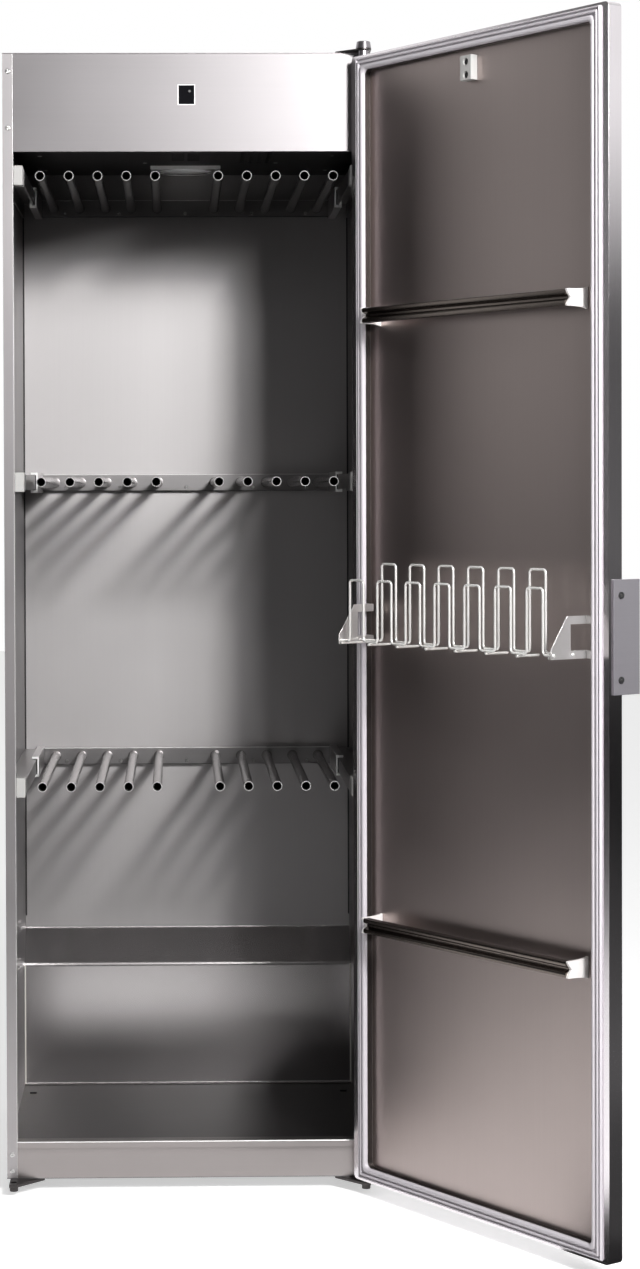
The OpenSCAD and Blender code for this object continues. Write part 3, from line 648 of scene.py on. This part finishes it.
def pan_head(at, outward):
    """One pan-head screw seen from outside, its place in millimetres."""
    dome = ((1, 0), (0.97, 0.35), (0.8, 0.78), (0.5, 0.97), (0, 1))
    head = turned_shape([(screw_radius * out, screw_rise * up) for out, up in dome], 24)
    recess = screw_radius * 0.55e-3
    sunk = [v for v in head.verts if abs(v.co.x * v.co.y) < 1e-7 and 0 < v.co.length < recess]
    bmesh.ops.translate(head, vec=(0, 0, -0.0005), verts=sunk)
    turn = Vector((0, 0, 1)).rotation_difference(Vector(outward)).to_matrix().to_4x4()
    bmesh.ops.transform(head, matrix=Matrix.Translation(Vector(at) / 1000) @ turn, verts=head.verts)
    bmesh.ops.recalc_face_normals(head, faces=head.faces)
    add_shape(screws, head)


for x in (-288.5, 288.5):
    for z in (1816.5, 1725, 60.7, 33.8):
        pan_head((x, front_y, z), (0, -1, 0))
for x in (-226, 226):
    pan_head((x, front_y + 12, 1846), (0, 0, 1))
for x, depth in ((-251, 270), (251, 270), (-251, 470), (251, 470), (-71, 365), (158, 365)):
    pan_head((x, front_y + depth, 1714), (0, 0, -1))
pan_head((56, front_y + 411, 1712.8), (0, 0, -1))
fit_piece(screws, "pan_screws", screw_steel, "bright_steel", "cabinet", "body_screws", sharp=60)

# ---- Hinge plates and pins ----
# Steel plates, 3 mm on top and 5 mm at the foot, painted dark. The top one carries a
# pin with a tapered cap, the bottom ones a bushing; the left plate is the spare one.
hinge = next(j for j in frame["joints"] if j["name"] == "door_hinge")
axis = Vector(hinge["pos_m"])
top_pin = [
    (0, 1860), (9.9, 1860), (10.7, 1859.6), (10.9, 1859), (12.3, 1850.6), (12.5, 1850), (12.5, 1849.2),
    (8, 1849), (8, 1835.4), (5, 1835.4), (5, 1811.6), (4.4, 1811), (0, 1811),
]
bottom_pin = [
    (0, 46), (4.2, 46), (5, 45.2), (5, 24.1), (9, 24.1), (9, 22), (5, 22), (5, 8.8), (4.2, 8), (0, 8),
]
plate_dark = sheet_steel("plate_dark", display(72, 69, 69), 0.4, grain=(0.01,) * 3, depth=0.15)
cap_steel = sheet_steel("cap_steel", display(150, 146, 150), 0.32, grain=(0.002, 0.002, 0.02))
for plate in ("bottom", "spare", "top"):
    eased_piece(f"hinge_plate_{plate}", 0.6, f"pivot_plate_{plate}", plate_dark, "dark_steel", "cabinet")
pins = bmesh.new()
for profile in (top_pin, bottom_pin):
    pin = turned_shape(profile, 48)
    bmesh.ops.translate(pin, vec=(axis.x, axis.y, 0), verts=pin.verts)
    add_shape(pins, pin)
fit_piece(pins, "pivot_pins", cap_steel, "bright_steel", "cabinet", "hinge_pins")

# ---- Machine room over the ceiling ----
# Fan in a zinc housing with its motor, heater box with rods, control box and the sensor
# behind the window. All are out of sight, as the feet's sockets and the wall bracket
# nearly are, so the CAD solids are shown as they are.
zinc = sheet_steel("zinc", display(165, 167, 168), 0.45, grain=(0.02,) * 3)
motor_paint = moulded("motor_paint", display(58, 58, 61), 0.4)
black_plastic = moulded("black_plastic", display(34, 34, 35), 0.5)
rod_scale = sheet_steel("rod_scale", display(110, 92, 84), 0.6, grain=(0.01, 0.002, 0.002))
paint(zinc, "fan_housing", "heater_box", "foot_sockets", "wall_bracket")
paint(motor_paint, "fan_motor", "control_box")
paint(rod_scale, "heater_element")
paint(black_plastic, "fan_impeller", "door_sensor", "cable_gland")

# ---- Door skin ----
# Stainless tray folded all round, with a narrow flange turned in towards the
# gasket. It hangs on the two pins; pieces made on the closed door swing open with it.
opening = -math.radians(hinge["range_deg"][0])
door_turn = Matrix.Translation(axis) @ Matrix.Rotation(opening, 4, "Z") @ Matrix.Translation(-axis)
door_steel = sheet_steel("door_steel", display(230, 225, 228), 0.2, turned=opening)
eased_piece("door_skin", 0.5, "door_tray", door_steel, "door_steel", "door")

# ---- Door inner panel ----
# Dark satin stainless panel pressed back into the door inside the gasket. The flanks
# of the recess lie in shade and are darker.
panel_steel = sheet_steel("panel_steel", display(174, 162, 159), 0.36, turned=opening, depth=0.02)
recess_dark = sheet_steel("recess_dark", display(78, 73, 71), 0.5, turned=opening)
outlook = door_turn.to_3x3() @ Vector((0, 1, 0))
door_inner = eased_piece("door_panel", 0.5, "door_inner", panel_steel, "panel_steel", "door")
add_metal(door_inner, recess_dark, lambda face: abs(face.normal.dot(outlook)) < 0.4)
paint(black_plastic, "door_bushes")

# ---- Gasket ----
# One extruded ring of pale soft plastic: two upright ribs mitred at the corners, and a
# hollow lip that is rounded towards the panel. It lies nearer to the head and the foot.
door_face = -0.2935
door_foot = 0.0245
door_head = 1.835
door_half = 0.2975
nearer_ends = 10
ribs = [
    (14.05, -1.1), (14.05, 0.3), (14.9, 0.6), (15.2, 3.5), (15.7, 4.0), (16.3, 4.0), (16.8, 3.5), (17.1, 0.6),
    (19.6, 0.6), (20.0, 4.2), (20.6, 4.8), (22.8, 4.8), (23.5, 4.2), (23.9, 0.6), (29.5, 0.5),
]
lip = [
    (25.6, 0.2), (26.6, 3.9), (27.6, 5.1), (29.4, 5.4), (31.6, 5.1), (33.2, 3.9), (34.0, 1.6), (34.0, -1.2),
]


def gasket_strip(profile, radius):
    """A ring drawn from the first (inset, rise) in millimetres to the last, with this corner radius."""
    inset, rise = profile[0]
    half = door_half - inset / 1000
    foot = door_foot + (inset - nearer_ends) / 1000
    head = door_head - (inset - nearer_ends) / 1000
    ring = bmesh.new()
    outline = ((-half, foot), (half, foot), (half, head), (-half, head))
    corner = chain(ring, [(x, door_face + rise / 1000, z) for x, z in outline])
    ring.edges.new((corner[-1], corner[0]))
    bmesh.ops.bevel(ring, geom=corner, offset=radius / 1000, segments=8, profile=0.5, affect="VERTICES")
    line = ring.edges[:]
    for (was_in, was_up), (now_in, now_up) in zip(profile, profile[1:]):
        drawn = bmesh.ops.extrude_edge_only(ring, edges=line)
        step = (now_in - was_in) / 1000
        for v in corners_of(drawn):
            inwards = math.copysign(step, -v.co.x)
            to_middle = math.copysign(step, (door_foot + door_head) / 2 - v.co.z)
            v.co += Vector((inwards, (now_up - was_up) / 1000, to_middle))
        line = [e for e in drawn["geom"] if isinstance(e, bmesh.types.BMEdge)]
    bmesh.ops.recalc_face_normals(ring, faces=ring.faces)
    if sum(f.normal.y * f.calc_area() for f in ring.faces) < 0:
        bmesh.ops.reverse_faces(ring, faces=ring.faces)
    return ring


def hang_piece(shape, name, material, slot, *stands_for, sharp=35):
    """Swings a shape that was made on the closed door to where the door stands, and makes its piece."""
    bmesh.ops.transform(shape, matrix=door_turn, verts=shape.verts)
    return fit_piece(shape, name, material, slot, "door", *stands_for, sharp=sharp)


gasket_pale = moulded("gasket_pale", display(188, 183, 188), 0.25)
gasket = bmesh.new()
add_shape(gasket, gasket_strip(ribs, 1.2))
add_shape(gasket, gasket_strip(lip, 9))
hang_piece(gasket, "gasket_ring", gasket_pale, "gasket", "door_gasket", sharp=50)

# ---- Towel rails and their end brackets ----
# Anodised rails with two rounded ridges and a groove between them, on flared,
# polished end brackets pressed with a crease down the middle.
rail_levels = (445, 1416)
rail_half = 0.2360
rail_lower = [(18, -12), (26, -12), (27.6, -11), (28, -9), (28, -6.6), (27.4, -5), (20.6, -2), (20.2, -1.3)]
bracket_lower = [(-11.9, -16.2), (-9, -15), (0, -13.6), (14, -12.8), (27, -12.5), (28, -11.4), (26, -7)]
crease = (20.4, 0)


def add_bar(whole, start, length, height, section):
    """Adds a bar of this (rise, height) section in millimetres, drawn along X from the start."""
    line = [whole.verts.new((start, door_face + rise / 1000, (height + z) / 1000)) for rise, z in section]
    drawn = bmesh.ops.extrude_face_region(whole, geom=[whole.faces.new(line)])
    bmesh.ops.translate(whole, vec=(length, 0, 0), verts=corners_of(drawn))


def mirrored(lower, *middle):
    """A section's lower half with its middle and its upper half."""
    return [*lower, *middle, *((rise, -z) for rise, z in reversed(lower))]


rail_dark = sheet_steel("rail_dark", display(112, 104, 99), 0.24, grain=(0.2, stroke, stroke), turned=opening)
bracket_bright = sheet_steel("bracket_bright", display(244, 240, 238), 0.4, grain=(0.01,) * 3, metallic=0.35)
rails = bmesh.new()
ends = bmesh.new()
for height in rail_levels:
    add_bar(rails, -rail_half, 2 * rail_half, height, mirrored(rail_lower))
    for side in (-1, 1):
        add_bar(ends, side * 0.2362, side * 0.0058, height, mirrored(bracket_lower, crease))
bmesh.ops.recalc_face_normals(rails, faces=rails.faces)
hang_piece(rails, "towel_bars", rail_dark, "rail_bronze", "towel_rails", sharp=40)
bmesh.ops.recalc_face_normals(ends, faces=ends.faces)
round_edges(ends, 0.0009, 2, least=60, clamp=True)
hang_piece(ends, "bar_ends", bracket_bright, "chromed", "rail_brackets")

# ---- Wire basket ----
# Two rows of square loops, each row bent from one 4 mm wire, welded to short rods
# that run under them. Bright zinc, with a soft bend at each corner.
wire_radius = 0.00198
loop_pitch = 69.4
loop_foot = 901
row_half = 246.8
front_out = 61.5
rear_out = 24.5
wire_zinc = sheet_steel(
    "wire_zinc", display(246, 244, 241), 0.25, grain=(0.004, 0.004, 0.01), metallic=0.6, depth=0.03
)


def bent_wire(name, path, bend):
    """A wire through these places, in millimetres on the closed door, rounded at each corner."""
    path = [Vector(place) for place in path]
    points = [path[0]]
    for one, at, two in zip(path, path[1:], path[2:]):
        a = at + (one - at).normalized() * bend
        b = at + (two - at).normalized() * bend
        points += [a.lerp(at, t).lerp(at.lerp(b, t), t) for t in (0, 0.2, 0.4, 0.6, 0.8, 1)]
    points.append(path[-1])
    curve = bpy.data.curves.new(name, "CURVE")
    curve.dimensions = "3D"
    curve.bevel_depth = wire_radius
    curve.bevel_resolution = 3
    curve.use_fill_caps = True
    line = curve.splines.new("POLY")
    line.points.add(len(points) - 1)
    for spot, p in zip(line.points, points):
        spot.co = (*(door_turn @ Vector((p.x / 1000, door_face + p.y / 1000, p.z / 1000))), 1)
    curve.materials.append(wire_zinc)
    wire = bpy.data.objects.new(name, curve)
    bpy.context.collection.objects.link(wire)
    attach(wire, "door")
    return wire


def row_of_loops(name, count, out, top):
    """One row of loops, bent up and down in turn from one side plate to the other."""
    quarter = loop_pitch / 4
    path = [(-row_half, out, loop_foot)]
    for k in range(count):
        x = loop_pitch * (k - (count - 1) / 2)
        path += [(x - quarter, out, z) for z in (loop_foot, top)]
        path += [(x + quarter, out, z) for z in (top, loop_foot)]
    return bent_wire(name, path + [(row_half, out, loop_foot)], 6.5)


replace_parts(row_of_loops("basket_front", 7, front_out, 997), "wire_rack")
row_of_loops("basket_rear", 6, rear_out, 1022.5)
for k in range(8):
    x = loop_pitch * (k - 3.5)
    bent_wire(f"basket_rod_{k}", [(x, out, 897.2) for out in (22, 44, 66)], 3)

# ---- Basket side plates ----
# Cranked plates cut from 2 mm steel, bright, with a rivet at the end of each wire.
side_bright = sheet_steel("side_bright", display(206, 203, 202), 0.38, grain=(0.01,) * 3, metallic=0.8)
eased_piece("rack_brackets", 0.4, "basket_sides", side_bright, "bright_steel", "door")
rivets = bmesh.new()
for side in (-1, 1):
    for out in (front_out, rear_out):
        middle = (side * 0.2491, door_face + out / 1000, loop_foot / 1000)
        rivet = bmesh.ops.create_uvsphere(rivets, u_segments=16, v_segments=8, radius=0.003)["verts"]
        bmesh.ops.scale(rivets, vec=(0.5, 1, 1), verts=rivet)
        bmesh.ops.translate(rivets, vec=middle, verts=rivet)
hang_piece(rivets, "basket_rivets", wire_zinc, "bright_steel")

# ---- Contact block ----
# White moulded block at the door's head, held by two dark screws with a hollow in
# their heads, which are sunk into round pockets.
eased_piece("contact_block", 0.8, "contact_white", block_white, "white_plastic", "door", steps=3)
sunk_screws = bmesh.new()
to_body = Matrix.Rotation(math.radians(-90), 3, "X")
for height in (1770, 1790):
    add_head(sunk_screws, 0.0048, 0.0044, 0.0022, to_body, (0.0142, door_face - 0.0028, height / 1000), 28)
hollowed = [f for f in sunk_screws.faces if f.normal.y > 0.9]
bmesh.ops.inset_individual(sunk_screws, faces=hollowed, thickness=0.0012, depth=-0.0008)
hang_piece(sunk_screws, "contact_screws", black_plastic, "black_plastic")

# ---- Handle ----
# A brushed aluminium plate on the door's free edge, held by two dark screws with a
# bright socket.
handle_satin = sheet_steel(
    "handle_satin", display(138, 135, 140), 0.42, grain=(0.12, 0.12, stroke), metallic=0.6, depth=0.12
)
eased_piece("handle_plate", 0.7, "handle_grip", handle_satin, "anodised", "door", steps=3)
eased_piece("handle_screws", 0.4, "handle_bolts", black_plastic, "black_plastic", "door")
sockets = bmesh.new()
to_side = Matrix.Rotation(math.radians(-90), 3, "Y")
for height in (865.5, 987):
    add_head(sockets, 0.0022, 0.0018, 0.0012, to_side, (-0.3027, door_face - 0.0205, height / 1000))
hang_piece(sockets, "handle_sockets", screw_steel, "bright_steel")

# ---- Controls on the outer side ----
# A black moulded panel with a round start button, in the door's head.
eased_piece("control_panel", 1.0, "control_cover", black_plastic, "black_plastic", "door", steps=3)
eased_piece("start_button", 0.8, "start_cap", screw_steel, "chromed", "button", steps=3)

# ---- Levelling feet ----
# Turned stems, threaded over their length, with a black rubber pad under each.
thread_pitch = 1.6
pad_profile = [
    (0, 8), (5.4, 8), (6, 8), (14, 7.6), (16.2, 6.6), (17, 5), (17, 1), (16.4, 0.2), (15.5, 0), (0, 0),
]
stem_profile = [(0, 52), (4.2, 52)]
for turn in range(26):
    stem_profile += [(4.95, 51.2 - thread_pitch * turn), (4.35, 50.4 - thread_pitch * turn)]
stem_profile += [(4.8, 8.6), (0, 8)]
rubber = moulded("foot_rubber", display(30, 30, 31), 0.7)
for corner in ("front_left", "front_right", "rear_left", "rear_right"):
    low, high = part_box(f"foot_{corner}")
    centre = (low + high) / 2
    foot = "foot_" + "".join(word[0] for word in corner.split("_"))
    pad = turned_shape(pad_profile, 40)
    bmesh.ops.translate(pad, vec=(centre.x, centre.y, 0), verts=pad.verts)
    fit_piece(pad, f"pad_{corner}", rubber, "black_plastic", foot, f"foot_{corner}")
    stem = turned_shape(stem_profile, 20)
    bmesh.ops.translate(stem, vec=(centre.x, centre.y, 0), verts=stem.verts)
    fit_piece(stem, f"stem_{corner}", screw_steel, "bright_steel", foot)
